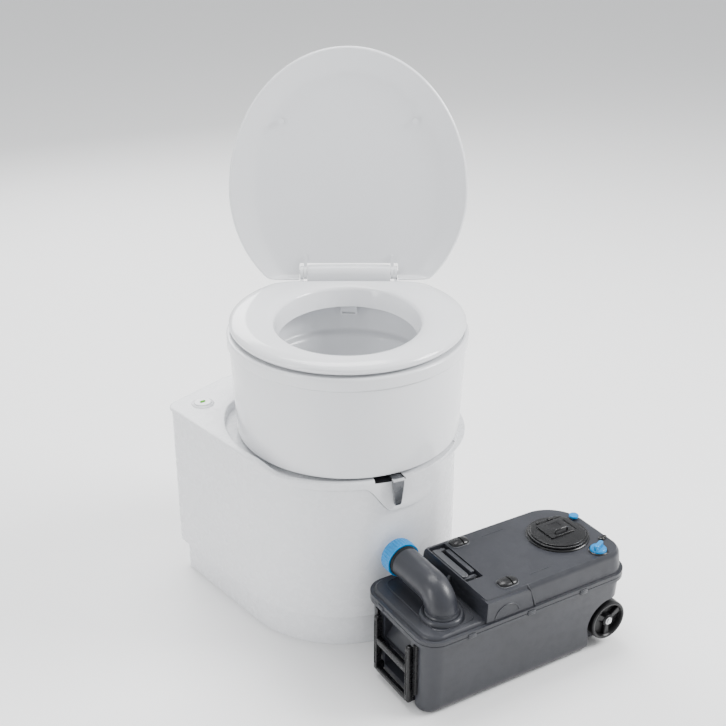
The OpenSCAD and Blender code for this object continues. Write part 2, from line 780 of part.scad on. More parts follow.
module wheel(y0) {
    in_cassette() translate([axle_at[0], y0, axle_at[1]]) rotate([-90, 0, 0]) difference() {
        union() {
            rotate_extrude() polygon([[wheel_r - 8, 0], [wheel_r - 2, 0], [wheel_r, 2], [wheel_r, 20],
                [wheel_r - 2, 22], [wheel_r - 8, 22]]);
            cylinder(r = 10, h = 22);
            for (a = [0:120:240]) rotate([0, 0, a + 30]) block(6, wheel_r - 6, -4, 4, 3, 19);
            translate([0, 0, 9]) cylinder(r = wheel_r - 6, h = 4);
        }
        translate([0, 0, -1]) cylinder(r = pin_r + 0.05, h = 30);
    }
}

module wheel_near() {
    color("black") wheel(5);
}

module wheel_far() {
    color("black") wheel(tank_w - 27);
}

module pull_handle() {
    color("black") in_cassette() {
        for (y = groove_y) {
            block(-13, -3, y - 4, y + 4, 12, 112);
            block(-3, 150, y - 3, y + 3, 12, 24);
        }
        block(-13, -3, groove_y[0] + 4, groove_y[1] - 4, 62, 74);
        block(-13, -3, groove_y[0] + 4, groove_y[1] - 4, 12, 20);
    }
}

module handle_brackets() {
    color("dimgray") in_cassette() for (y = groove_y) block(24, 36, y - 6, y + 6, 4, 11.5);
}

module rail_trims() {
    color("black") in_cassette() for (y = [groove_y[0] - 12, groove_y[1] + 6])
        block(-5, 0, y, y + 6, 30, 118);
}

floor_tray();
plinth();
base_casing();
deck_cover();
bay_guides();
swivel_bearing();
drop_funnel();
mouth_seal();
button_bezel();
flush_button();
button_led();
control_box();
flush_pump();
flush_hose();
water_inlet();
lever_ring();
lever_paddle();
turntable_hub();
retaining_ring();
bowl_shell();
rim_band();
bowl_liner();
flush_nozzle();
flush_pipe();
hinge_cover();
hinge_pin();
seat();
seat_bumpers();
lid();
lid_bumpers();
tank_lower();
tank_upper();
tank_gasket();
skid_feet();
spout_collar();
spout_elbow();
spout_cap();
cap_gasket();
mouth_frame();
lip_seal();
slide_cover();
cover_latch();
blade_guides();
mouth_blade();
blade_knob();
vent_button();
vent_valve();
cover_hook();
deck_clips();
carry_handle();
handle_pins();
float_bracket();
level_float();
wheel_axle();
wheel_near();
wheel_far();
pull_handle();
handle_brackets();
rail_trims();
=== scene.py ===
import json
from math import atan2, cos, degrees, exp, hypot, pi, radians, sin, tan

import bmesh
import bpy
from mathutils import Matrix, Vector


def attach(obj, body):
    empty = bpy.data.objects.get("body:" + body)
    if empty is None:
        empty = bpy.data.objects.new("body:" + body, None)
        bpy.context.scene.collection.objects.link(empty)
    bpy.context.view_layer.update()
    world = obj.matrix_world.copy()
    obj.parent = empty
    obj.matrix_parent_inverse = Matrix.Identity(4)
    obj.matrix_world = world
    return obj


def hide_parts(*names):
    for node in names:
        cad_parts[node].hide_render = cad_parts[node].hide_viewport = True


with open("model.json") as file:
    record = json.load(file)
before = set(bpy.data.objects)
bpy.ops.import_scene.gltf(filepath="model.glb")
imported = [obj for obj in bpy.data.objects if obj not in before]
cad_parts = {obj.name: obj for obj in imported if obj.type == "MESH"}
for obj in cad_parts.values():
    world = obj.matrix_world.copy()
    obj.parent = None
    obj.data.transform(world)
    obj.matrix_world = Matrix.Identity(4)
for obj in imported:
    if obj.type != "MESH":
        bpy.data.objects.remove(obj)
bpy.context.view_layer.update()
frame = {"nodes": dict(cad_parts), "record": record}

MM = 0.001

# Sizes in millimetres and angles in degrees, as in the CAD part.
BASE_R, BASE_CX, BASE_CY = 188, -20, -2
CORNER_Y, BACK_Y, CORNER_R, RAKE, FLAT = 217, 243, 18, 11.5, 60
DECK_Z, WELL_Z, WELL_R, WALL = 316, 300, 200, 4
LIP_H, NOSE_DROP = 11.5, 45
BAY = (-130, 90, 250)
BOWL_Z, BAND_Z, RIM_Z = 307, 450, 470
HINGE_Y, HINGE_Z, PIN_R, COVER_W, LUG_T = 170, 497, 4.05, 70, 5.4
LID_W, LID_F, LID_CY, LID_REAR = 199, 202, 33, 236
BUTTON_AT = (-162, 182)
LEVER_REST, LEVER_R, LEVER_LOW, LEVER_TOP = -18, 205, 257, 304
TANK_L, TANK_W, DECK, SEAM, SHELF, STEP_X = 370, 180, 172, 128, 140, 98
SPOUT_AT, SPOUT_R, BEND, SPOUT_Z = (52, 50), 24, 31, 144
MOUTH_AT, KNOB_AT, VENT_AT = (300, 92), (326, 26), (354, 117)
AXLE_X, AXLE_Z, WHEEL_R, ARCH_R = 343, 46, 33, 42
GROOVE_Y = (44, 130)
POCKET = (104, 134, 62, 164)
HANDLE_X, HANDLE_Z = 128, 163

# Where the turned bowl, its open lid, the lever and the cassette stand in the shared frame.
BOWL = Matrix.Rotation(radians(-40), 4, "Z")
HINGE = Vector((0, HINGE_Y, HINGE_Z)) * MM
OPENED = Matrix.Rotation(radians(-100), 4, "X")
LID = BOWL @ Matrix.Translation(HINGE) @ OPENED @ Matrix.Translation(-HINGE)
LEVER = Matrix.Rotation(radians(LEVER_REST), 4, "Z")
CASSETTE = Matrix.Translation((-0.147, -0.362, 0)) @ Matrix.Rotation(radians(-9), 4, "Z")
HERE = Matrix.Identity(4)

# Turns that lay an upright shape along X, or along Y towards the back or the front.
ALONG_X = Matrix.Rotation(radians(90), 4, "Y")
TO_BACK = Matrix.Rotation(radians(-90), 4, "X")
TO_FRONT = Matrix.Rotation(radians(90), 4, "X")


# ---------- materials ----------

# The colour sockets of a Mix node.
COLOUR_A, COLOUR_B, COLOUR_OUT = 6, 7, 2


def add(tree, kind, **values):
    made = tree.nodes.new("ShaderNode" + kind)
    for key, value in values.items():
        setattr(made, key, value)
    return made


def noise(tree, place, scale, detail=3.0):
    made = add(tree, "TexNoise")
    made.inputs["Scale"].default_value = scale
    made.inputs["Detail"].default_value = detail
    tree.links.new(place.outputs["Object"], made.inputs["Vector"])
    return made.outputs["Fac"]


def spread(tree, source, low, high, start=0.35, end=0.65):
    """Maps a noise's middle values onto low to high."""
    made = add(tree, "MapRange")
    for key, value in zip(("From Min", "From Max", "To Min", "To Max"), (start, end, low, high)):
        made.inputs[key].default_value = value
    tree.links.new(source, made.inputs["Value"])
    return made.outputs["Result"]


def plastic(name, colour, rough, grain=900, depth=2e-5, tint=0.03, metallic=0.0, coat=0.0, scuffs=0.0,
            shine=0.5):
    """A moulded surface: faint mottling, uneven gloss, a fine grain in relief and, if asked, light scuffs."""
    made = bpy.data.materials.new(name)
    made.use_nodes = True
    tree = made.node_tree
    shader = tree.nodes["Principled BSDF"]
    shader.inputs["Metallic"].default_value = metallic
    shader.inputs["Specular IOR Level"].default_value = shine
    shader.inputs["Coat Weight"].default_value = coat
    shader.inputs["Coat Roughness"].default_value = 0.08
    place = add(tree, "TexCoord")
    mottle = add(tree, "Mix", data_type="RGBA")
    mottle.inputs[COLOUR_A].default_value = (*[c * (1 - tint) for c in colour], 1)
    mottle.inputs[COLOUR_B].default_value = (*[min(1, c * (1 + tint)) for c in colour], 1)
    tree.links.new(spread(tree, noise(tree, place, 22), 0, 1), mottle.inputs[0])
    tone = mottle.outputs[COLOUR_OUT]
    gloss = spread(tree, noise(tree, place, 75, 4), rough * 0.82, rough * 1.2)
    if scuffs:
        stretch = add(tree, "Mapping")
        stretch.inputs["Scale"].default_value = (1, 0.16, 1.6)
        tree.links.new(place.outputs["Object"], stretch.inputs["Vector"])
        marks = add(tree, "TexNoise")
        marks.inputs["Scale"].default_value = 160
        marks.inputs["Detail"].default_value = 5
        tree.links.new(stretch.outputs["Vector"], marks.inputs["Vector"])
        worn = spread(tree, marks.outputs["Fac"], 0, scuffs, 0.63, 0.74)
        paler = add(tree, "Mix", data_type="RGBA")
        paler.inputs[COLOUR_B].default_value = (*[min(1, c * 2.2 + 0.03) for c in colour], 1)
        tree.links.new(worn, paler.inputs[0])
        tree.links.new(tone, paler.inputs[COLOUR_A])
        tone = paler.outputs[COLOUR_OUT]
    relief = add(tree, "Bump")
    relief.inputs["Distance"].default_value = depth
    relief.inputs["Strength"].default_value = 1.0
    tree.links.new(noise(tree, place, grain, 2), relief.inputs["Height"])
    tree.links.new(tone, shader.inputs["Base Color"])
    tree.links.new(gloss, shader.inputs["Roughness"])
    tree.links.new(relief.outputs["Normal"], shader.inputs["Normal"])
    return made


LOOKS = {
    "white_shell": plastic("white_shell", (0.78, 0.79, 0.81), rough=0.2, grain=1100, depth=6e-6,
                           tint=0.004, coat=0.25),
    "white_casing": plastic("white_casing", (0.77, 0.78, 0.80), rough=0.26, grain=1100, depth=8e-6,
                            tint=0.004, coat=0.12),
    "seat_white": plastic("seat_white", (0.79, 0.80, 0.82), rough=0.17, grain=1100, depth=5e-6, tint=0.004,
                          coat=0.3),
    "liner_white": plastic("liner_white", (0.70, 0.71, 0.73), rough=0.2, grain=1100, depth=6e-6,
                           tint=0.004, coat=0.2),
    "inner_grey": plastic("inner_grey", (0.38, 0.39, 0.40), rough=0.5, grain=1200, depth=40e-6),
    # Near black; on the strip in the lever's slot this colour is painted shade.
    "dark_inner": plastic("dark_inner", (0.008, 0.008, 0.010), rough=0.5, grain=1200, depth=40e-6,
                          tint=0.08, shine=0.2),
    "lever_grey": plastic("lever_grey", (0.10, 0.105, 0.115), rough=0.26, grain=1500, depth=10e-6,
                          tint=0.05, metallic=0.45, coat=0.3),
    "lever_cap": plastic("lever_cap", (0.55, 0.56, 0.58), rough=0.3, grain=1500, depth=20e-6, tint=0.03,
                         metallic=0.2),
    "led_green": plastic("led_green", (0.07, 0.40, 0.002), rough=0.5, grain=900, depth=10e-6, tint=0.1,
                         shine=0.08),
    "tank_grey": plastic("tank_grey", (0.024, 0.0255, 0.032), rough=0.38, grain=2300, depth=50e-6,
                         tint=0.07, coat=0.08, scuffs=0.03, shine=0.4),
    "tank_pale": plastic("tank_pale", (0.05, 0.053, 0.06), rough=0.42, grain=2300, depth=50e-6, tint=0.05,
                         scuffs=0.03),
    "trim_black": plastic("trim_black", (0.006, 0.006, 0.007), rough=0.28, grain=1900, depth=20e-6,
                          tint=0.1, coat=0.1, scuffs=0.015, shine=0.35),
    "cap_blue": plastic("cap_blue", (0.0, 0.2, 0.5), rough=0.28, grain=1500, depth=20e-6, tint=0.04,
                        coat=0.1, shine=0.3),
    "rubber_black": plastic("rubber_black", (0.008, 0.008, 0.009), rough=0.62, grain=1400, depth=80e-6,
                            tint=0.1, shine=0.3),
    "rubber_grey": plastic("rubber_grey", (0.12, 0.12, 0.125), rough=0.6, grain=1400, depth=80e-6, tint=0.06),
    "steel": plastic("steel", (0.55, 0.55, 0.56), rough=0.28, grain=700, depth=30e-6, tint=0.05,
                     metallic=1.0),
    "wheel_black": plastic("wheel_black", (0.007, 0.007, 0.008), rough=0.38, grain=1500, depth=50e-6,
                           tint=0.1, scuffs=0.02, shine=0.35),
    "hose_clear": plastic("hose_clear", (0.45, 0.47, 0.49), rough=0.32, grain=500, depth=50e-6, tint=0.04),
    "float_orange": plastic("float_orange", (0.62, 0.16, 0.02), rough=0.42, grain=1200, depth=40e-6),
    "handle_grey": plastic("handle_grey", (0.04, 0.042, 0.048), rough=0.34, grain=2300, depth=40e-6,
                           tint=0.06, coat=0.15, scuffs=0.03),
    "floor": plastic("floor", (0.93, 0.93, 0.93), rough=0.6, grain=60, depth=10e-6, tint=0.002),
}


# ---------- mesh helpers ----------

def dress(obj, look):
    obj.data.materials.clear()
    obj.data.materials.append(LOOKS[look])


def solid(name, points, faces, look, matrix=HERE, sharp=34):
    """A shaded mesh from points in millimetres."""
    mesh = bpy.data.meshes.new(name)
    mesh.from_pydata([Vector(p) * MM for p in points], [], faces)
    mesh.transform(matrix)
    shape = bmesh.new()
    shape.from_mesh(mesh)
    bmesh.ops.remove_doubles(shape, verts=shape.verts, dist=1e-6)
    bmesh.ops.recalc_face_normals(shape, faces=shape.faces)
    shape.to_mesh(mesh)
    shape.free()
    mesh.shade_smooth()
    mesh.set_sharp_from_angle(angle=radians(sharp))
    obj = bpy.data.objects.new(name, mesh)
    bpy.context.scene.collection.objects.link(obj)
    dress(obj, look)
    return obj


def rounded(obj, width, segments=3, angle=34):
    """Rounds the hard edges."""
    bevel = obj.modifiers.new("edges", "BEVEL")
    bevel.width = width * MM
    bevel.segments = segments
    bevel.limit_method = "ANGLE"
    bevel.angle_limit = radians(angle)
    bevel.harden_normals = True
    bevel.use_clamp_overlap = True
    return obj


def settle(obj, sharp=34):
    """Applies the modifiers that obj has so far."""
    graph = bpy.context.evaluated_depsgraph_get()
    mesh = bpy.data.meshes.new_from_object(obj.evaluated_get(graph))
    obj.modifiers.clear()
    obj.data = mesh
    mesh.shade_smooth()
    mesh.set_sharp_from_angle(angle=radians(sharp))
    return obj


def combine(obj, others, how):
    for other in others:
        step = obj.modifiers.new(how, "BOOLEAN")
        step.operation = how
        step.object = other
        step.solver = "EXACT"
    settle(obj)
    for other in others:
        bpy.data.objects.remove(other)
    return obj


def cut(obj, *tools):
    return combine(obj, tools, "DIFFERENCE")


def fuse(obj, *others):
    return combine(obj, others, "UNION")


def ride(obj, body, replaces=()):
    """Says which body a piece moves with and the CAD nodes that it replaces."""
    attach(obj, body)
    if replaces:
        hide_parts(*replaces)


def smooth(x):
    """An eased step from 0 to 1."""
    t = min(1, max(0, x))
    return t * t * (3 - 2 * t)


def arc(cx, cy, r, start, end, n):
    turns = [radians(start + (end - start) * i / n) for i in range(n + 1)]
    return [(cx + r * cos(a), cy + r * sin(a)) for a in turns]


def loft(rings, closed=False):
    """Points and faces through a stack of rings; closed joins the last ring to the first."""
    n, m = len(rings[0]), len(rings)
    faces = []
    for k in range(m if closed else m - 1):
        for i in range(n):
            a, b, j = k * n, (k + 1) % m * n, (i + 1) % n
            faces.append((a + i, b + i, b + j, a + j))
    if not closed:
        faces += [tuple(range(n)), tuple((m - 1) * n + i for i in range(n))]
    return [p for ring in rings for p in ring], faces


def share(v, reach):
    """How much of an edge that reach takes, up to just under half."""
    return min(0.45, reach / v.length) if v.length > 1e-6 else 0


def soften(rings, reach, steps=3, closed=False):
    """Turns each fold of a stack of rings into a curve that starts that far before it."""
    m = len(rings)
    reach = reach if isinstance(reach, (list, tuple)) else [reach] * m
    out = []
    for k, ring in enumerate(rings):
        if reach[k] == 0 or (not closed and k in (0, m - 1)):
            out.append(ring)
            continue
        for s in range(steps + 1):
            t = s / steps
            row = []
            for p, a, b in zip(ring, rings[k - 1], rings[(k + 1) % m]):
                p, a, b = Vector(p), Vector(a), Vector(b)
                start = p + (a - p) * share(a - p, reach[k])
                end = p + (b - p) * share(b - p, reach[k])
                row.append(start * (1 - t) ** 2 + p * (2 * t * (1 - t)) + end * t * t)
            out.append(row)
    return out


def oval(w, front, rear, z, cy=0, cut_y=1000, n=160):
    """An egg-shaped ring, with its rear end eased into a straight edge at cut_y."""
    ring = []
    ease = 6
    for i in range(n):
        a = 2 * pi * (i + 0.5) / n
        y = cy + (rear - cy if sin(a) > 0 else front + cy) * sin(a)
        if y > cut_y - ease:
            y = cut_y - ease * exp(-(y - cut_y + ease) / ease)
        ring.append((w * cos(a), y, z))
    return ring


def slab(x0, x1, y0, y1, z, r, n=16):
    """A rectangle at height z with a radius for each corner: x1 y0, x1 y1, x0 y1, x0 y0."""
    corners = (arc(x1 - r[0], y0 + r[0], r[0], -90, 0, n) + arc(x1 - r[1], y1 - r[1], r[1], 0, 90, n)
               + arc(x0 + r[2], y1 - r[2], r[2], 90, 180, n) + arc(x0 + r[3], y0 + r[3], r[3], 180, 270, n))
    return [(x, y, z) for x, y in corners]


def block(name, x0, x1, y0, y1, z0, z1, look, matrix=HERE, r=0.8, segments=3):
    """A box with rounded edges."""
    base = [(x0, y0), (x1, y0), (x1, y1), (x0, y1)]
    return plate(name, base, z0, z1, look, matrix, r, segments)


def plate(name, outline, z0, z1, look, matrix=HERE, r=0.8, segments=3):
    """An upright prism on an outline, with rounded edges."""
    rings = [[(p[0], p[1], z) for p in outline] for z in (z0, z1)]
    made = solid(name, *loft(rings), look, matrix)
    if r:
        rounded(made, r, segments)
        settle(made)
    return made


def lathe(name, profile, look, matrix=HERE, n=64, closed=True):
    """A turned shape; the profile is a list of radius and height."""
    rings = [[(r * cos(2 * pi * i / n), r * sin(2 * pi * i / n), z) for i in range(n)] for r, z in profile]
    return solid(name, *loft(rings, closed), look, matrix)


def disc(name, x, y, r, z0, z1, look, matrix=HERE, edge=0.8, n=64):
    """A round plate with a rounded upper and lower edge."""
    return plate(name, arc(x, y, r, 0, 360 - 360 / n, n - 1), z0, z1, look, matrix, edge)


def along(path, section):
    """Rings of a section (side, up) carried along a path, each square to it."""
    rings = []
    last = len(path) - 1
    for k, p in enumerate(path):
        ahead = (Vector(path[min(k + 1, last)]) - Vector(path[max(k - 1, 0)])).normalized()
        side = ahead.cross(Vector((0.02, 0.01, 1))).normalized()
        up = side.cross(ahead)
        rings.append([Vector(p) + side * a + up * b for a, b in section])
    return rings


def circle(r, n=14):
    return [(r * cos(2 * pi * i / n), r * sin(2 * pi * i / n)) for i in range(n)]


def cord(name, path, r, look, matrix=HERE, n=14):
    """A round rod along a path."""
    return solid(name, *loft(along(path, circle(r, n))), look, matrix)


def at(x, y, z, matrix=CASSETTE):
    """A frame moved to a point in millimetres."""
    return matrix @ Matrix.Translation(Vector((x, y, z)) * MM)


def turned(x, y, z):
    """A frame at a point of the cassette whose Z lies along the cassette's Y."""
    return at(x, y, z) @ TO_BACK


# ---------- base ----------

def plan(o):
    """The base's outline, grown by o, as a closed list of points."""
    left, right = BASE_CX - BASE_R, BASE_CX + BASE_R
    front = arc(BASE_CX, BASE_CY, BASE_R + o, 180, 360, 180)
    sides = [4 + (CORNER_Y - CORNER_R - 8) * i / 46 for i in range(47)]
    return (front + [(right + o, y) for y in sides]
            + arc(right - CORNER_R, CORNER_Y - CORNER_R, CORNER_R + o, 0, 90 - RAKE, 12)
            + [(BASE_CX + FLAT - 4 * i, BACK_Y + o) for i in range(31)]
            + arc(left + CORNER_R, CORNER_Y - CORNER_R, CORNER_R + o, 90 + RAKE, 180, 12)
            + [(left - o, y) for y in reversed(sides)])


PLAN = plan(0)


def round_angle(p):
    """The direction of a point from the middle of the round front."""
    return degrees(atan2(p[1] - BASE_CY, p[0] - BASE_CX))


def nose(p):
    """How far the nose hangs at a point of the front, 0 to 1: steep on its left, long on its right."""
    if p[1] > BASE_CY:
        return 0
    return smooth((round_angle(p) + 118) / 14) * (1 - smooth((round_angle(p) + 92) / 42))


def rear_face(x):
    """Where the base's back stands at x: flat in the middle and raked beside it."""
    return BACK_Y - max(0, abs(x - BASE_CX) - FLAT) * tan(radians(RAKE))


def lip_top(p):
    """The lip's upper edge: at the well's height in front, rising to the deck at the sides."""
    turn = 1 if p[1] > BASE_CY else smooth((abs(round_angle(p) + 90) - 66) / 18)
    return WELL_Z + 3 + (DECK_Z - WELL_Z - 3) * smooth((hypot(*p) - 202) / 5) * turn


def lip_low(p):
    return lip_top(p) - LIP_H + 6 * smooth((p[1] + 60) / 220) - NOSE_DROP * nose(p)


def plan_ring(o, height):
    """A ring on the outline; its growth o and its height may each be a function of the point."""
    offsets = o if callable(o) else lambda p: o
    moved = {}
    ring = []
    for i, p in enumerate(PLAN):
        step = round(offsets(p), 2)
        if step not in moved:
            moved[step] = plan(step)
        z = height(p) if callable(height) else height
        ring.append((*moved[step][i], z))
    return ring


def radial_ring(r, height):
    """A round ring with one point for each point of the outline."""
    ring = []
    for p in PLAN:
        k = (r(p) if callable(r) else r) / hypot(*p)
        ring.append((p[0] * k, p[1] * k, height(p) if callable(height) else height))
    return ring


def bay_cut(z0, z1):
    """The service opening's shape, through the back."""
    face = slab(BAY[0], BAY[1], z0, z1, 0, [5] * 4)
    rings = [[(x, y, z) for x, z, _ in face] for y in (150, 300)]
    return solid("bay", *loft(rings), "white_casing")


def base():
    """The casing with a groove under the lip, the plinth and a bead round the service opening."""
    def top(p):
        return lip_top(p) - 4.5

    def groove(gap):
        return lambda p: lip_low(p) - gap

    rings = [plan_ring(0, 60), plan_ring(0, groove(2.4)), plan_ring(-1.6, groove(0.6)), plan_ring(-1.6, top),
             plan_ring(-WALL, top), plan_ring(-WALL, 64), plan_ring(-16, 64), plan_ring(-16, 60)]
    reach = [2.2, 0.8, 0.4, 0.4, 0.4, 1, 1, 0.5]
    casing = solid("casing", *loft(soften(rings, reach, 3, True), True), "white_casing")
    inlet = disc("hole", -150, 120, 6, -260, -200, "white_casing", TO_FRONT, 0)
    cut(casing, bay_cut(40, BAY[2]), inlet)
    ride(casing, "base", ["base_casing"])

    rings = [plan_ring(-12, 0), plan_ring(-12, 61), plan_ring(-16, 61), plan_ring(-16, 0)]
    skirt = solid("plinth_skirt", *loft(soften(rings, [1.5, 0.3, 0.3, 0.5], 3, True), True), "white_casing")
    cut(skirt, bay_cut(8, 90))
    ride(skirt, "base", ["plinth"])

    bead = slab(BAY[0] - 3, BAY[1] + 3, 63, BAY[2] + 3, 0, [8] * 4)
    path = [(x, rear_face(x) + 0.4, z) for x, z, _ in bead]
    trim = solid("bay_bead", *loft(along(path + path[:1], circle(1.5, 10)), True), "white_casing")
    ride(trim, "base")


def ring_sector(inner, outer, start, end):
    """The outline of a piece of a flat ring round the bowl's axis."""
    turns = range(start, end + 1, 2)
    corners = [(inner, a) for a in turns] + [(outer, a) for a in reversed(turns)]
    return [(r * cos(radians(a)), r * sin(radians(a))) for r, a in corners]


def deck():
    """The deck with its proud lip, its nose round the lever and the round well under the bowl."""
    def proud(p):
        return 3.6 + 0.4 * nose(p) - 1.6 * smooth((nose(p) - 0.55) / 0.45)

    def down(part):
        return lambda p: lip_top(p) - 1 + (lip_low(p) - lip_top(p) + 1) * part

    def under(p):
        return lip_top(p) - 4.4

    def well(p):
        return min(WELL_R, hypot(*p) - 8)

    def rim(p):
        return 3.6 + 0.4 * nose(p)

    rings = [plan_ring(rim, lip_low), plan_ring(rim, down(0.9)), plan_ring(proud, down(0.66)),
             plan_ring(proud, down(0.3)), plan_ring(3, down(0)), plan_ring(1, lip_top),
             radial_ring(well, lip_top), radial_ring(well, WELL_Z), radial_ring(60, WELL_Z),
             radial_ring(60, WELL_Z - 4), radial_ring(190, WELL_Z - 4), plan_ring(-4.3, under),
             plan_ring(0.2, under), plan_ring(0.2, lip_low)]
    reach = [0.9, 4, 6, 6, 0.9, 1.6, 2, 1.5, 0, 0, 0, 0, 0, 0.9]
    made = solid("deck", *loft(soften(rings, reach, 3, True), True), "white_casing")
    notch = ring_sector(160, 216, -118, -62)
    cut(made, disc("hole", *BUTTON_AT, 14.6, 290, 330, "white_casing", HERE, 0),
        plate("notch", notch, WELL_Z + 0.2, 330, "white_casing", HERE, 0))
    ride(made, "base", ["deck_cover"])
    # A thin near-black strip on the notch floor beside the lever: painted shade for the shadow down in the
    # lever's slot.
    shade_outline = ring_sector(184, 202, -118, -104)
    slot = plate("lever_slot_painted_shade", shade_outline, WELL_Z - 0.5, WELL_Z + 0.25, "dark_inner", HERE, 0)
    ride(slot, "base")


def button():
    x, y = BUTTON_AT
    place = at(x, y, DECK_Z, HERE)
    bezel = lathe("button_ring", [(14.6, 0), (19.2, 0), (18.4, 1.3), (17.2, 2.2), (15.4, 2.6), (14.6, 2.1)],
                  "white_casing", place, 72)
    ride(bezel, "base", ["button_bezel"])
    profile = [(0.01, -8), (14.3, -8), (14.3, 3.0), (13.7, 3.7), (12, 4.0), (7, 3.8), (0.01, 3.7)]
    cap = lathe("button_cap", profile, "white_shell", place, 72, False)
    ride(cap, "flush_button", ["flush_button"])
    outline = slab(x - 5, x + 5, y - 2.8, y + 2.8, 0, [2.6] * 4, 6)
    lamp = plate("button_lamp", outline, DECK_Z + 3.4, DECK_Z + 4.8, "led_green", HERE, 0.4)
    ride(lamp, "flush_button", ["button_led"])


def lever():
    """A tapered paddle with a rounded foot, and the pale cap where it passes under the bowl."""
    rings = []
    for z, w, thick in ((LEVER_TOP - 3, 9, 4), (LEVER_TOP - 12, 8.9, 4), (LEVER_TOP - 22, 8, 3.8),
                        (LEVER_LOW + 8, 6.2, 3.2), (LEVER_LOW + 3, 5.4, 2.8), (LEVER_LOW + 0.8, 4.2, 2),
                        (LEVER_LOW, 2.4, 1)):
        back = -LEVER_R + 4
        rings.append(slab(-w, w, back - 2 * thick, back - 0.2, z, [min(3, thick * 0.8)] * 2 + [0.8, 0.8], 6))
    paddle = solid("paddle", *loft(soften(rings, 3, 2)), "lever_grey", LEVER, 50)
    cut(paddle, block("hollow", -8, 8, -LEVER_R + 1, -LEVER_R + 12, WELL_Z + 0.3, WELL_Z + 4, "lever_grey",
                      LEVER, 0))
    ride(paddle, "blade_lever", ["lever_paddle"])
    cap = slab(-9.4, 9.4, -LEVER_R - 4.4, -LEVER_R + 3.6, 0, [3, 3, 1, 1], 6)
    top = plate("paddle_cap", cap, LEVER_TOP - 3.2, LEVER_TOP, "lever_cap", LEVER, 1.1)
    ride(top, "blade_lever")


# ---------- bowl, seat and lid ----------

def bowl():
    """The outer shell, the rim band and the inside, each a closed wall."""
    rings = [oval(180, 198, 188, BOWL_Z), oval(187, 195, 198, BAND_Z - 1.2), oval(185, 193, 196, BAND_Z),
             oval(183, 191, 194, BAND_Z), oval(176.5, 194, 184, BOWL_Z + 5),
             oval(139, 139, 139, BOWL_Z + 4), oval(139, 139, 139, BOWL_Z)]
    reach = [3, 0.8, 0.5, 0.5, 2, 0, 0]
    shell = solid("bowl_skirt", *loft(soften(rings, reach, 4, True), True), "white_shell", BOWL)
    ride(shell, "bowl", ["bowl_shell"])

    rings = [oval(189.5, 196, 202, BAND_Z), oval(190.5, 197, 203, BAND_Z + 1.4),
             oval(190.5, 197, 203, RIM_Z - 2.5), oval(188, 194.5, 200.5, RIM_Z), oval(183.6, 190, 196, RIM_Z),
             oval(183.6, 190, 196, RIM_Z - 8), oval(178, 184.5, 190.5, RIM_Z - 8),
             oval(178, 184.5, 190.5, BAND_Z)]
    reach = [0.6, 1, 1.6, 1.6, 0.4, 0, 0, 0]
    band = solid("rim_ring", *loft(soften(rings, reach, 3, True), True), "white_shell", BOWL)
    ride(band, "bowl", ["rim_band"])

    rings = [oval(183, 189.5, 195.5, RIM_Z - 8), oval(183, 189.5, 195.5, RIM_Z - 0.6),
             oval(146, 160, 150, RIM_Z - 0.2), oval(141, 153, 145, 404), oval(131, 142, 134, 398),
             oval(118, 124, 120, 352), oval(78, 78, 78, 326), oval(46, 46, 46, 314),
             oval(46, 46, 46, 290), oval(50, 50, 50, 290), oval(50, 50, 50, 311),
             oval(80, 80, 80, 322), oval(121.5, 127.5, 123.5, 348.5), oval(135, 146, 138, 394),
             oval(145, 157, 149, 400), oval(150, 164, 154, RIM_Z - 8)]
    reach = [0, 0.4, 8, 4, 6, 22, 18, 8, 0.5, 0.5, 3, 10, 10, 3, 3, 2]
    liner = solid("bowl_inside", *loft(soften(rings, reach, 6, True), True), "liner_white", BOWL, 50)
    hole = disc("hole", 0, 444, 6.05, -175, -120, "liner_white", BOWL @ TO_FRONT, 0)
    cut(liner, hole)
    ride(liner, "bowl", ["bowl_liner"])


def pin_hole(matrix, x0, x1, n=64):
    return disc("pin_hole", -HINGE_Z, HINGE_Y, PIN_R, x0, x1, "seat_white", matrix @ ALONG_X, 0, n)


def hump():
    """The arched cover over the hinge pin, slightly narrower at its ends."""
    rings = []
    for i in range(29):
        x = -COVER_W + 2 * COVER_W * i / 28
        end = 1 - 0.1 * smooth((abs(x) - COVER_W + 3) / 3)
        rise = 1.0 * (1 - (x / COVER_W) ** 2)
        r = 13.2 * end
        section = [(x, HINGE_Y - 13 * end, RIM_Z + 0.2)]
        section += [(x, HINGE_Y + r * cos(radians(a)), HINGE_Z - 0.2 + rise + r * sin(radians(a)))
                    for a in range(180, -1, -10)]
        section.append((x, HINGE_Y + 13 * end, RIM_Z + 0.2))
        rings.append(section)
    made = solid("hinge_hump", *loft(rings), "seat_white", BOWL, 50)
    cut(made, pin_hole(BOWL, -90, 90))
    ride(made, "bowl", ["hinge_cover"])


def ear(name, x, z0, z1, matrix):
    """A hinge ear: a ring round the pin and an arm into the seat or lid."""
    ring = disc("ear", -HINGE_Z, HINGE_Y, 11, x, x + LUG_T, "seat_white", matrix @ ALONG_X, 0)
    arm = block("arm", x, x + LUG_T, 140, HINGE_Y, z0, z1, "seat_white", matrix, 0)
    made = fuse(ring, arm)
    cut(made, pin_hole(matrix, x - 5, x + 20, 48))
    made.name = name
    return rounded(made, 0.6, 2)


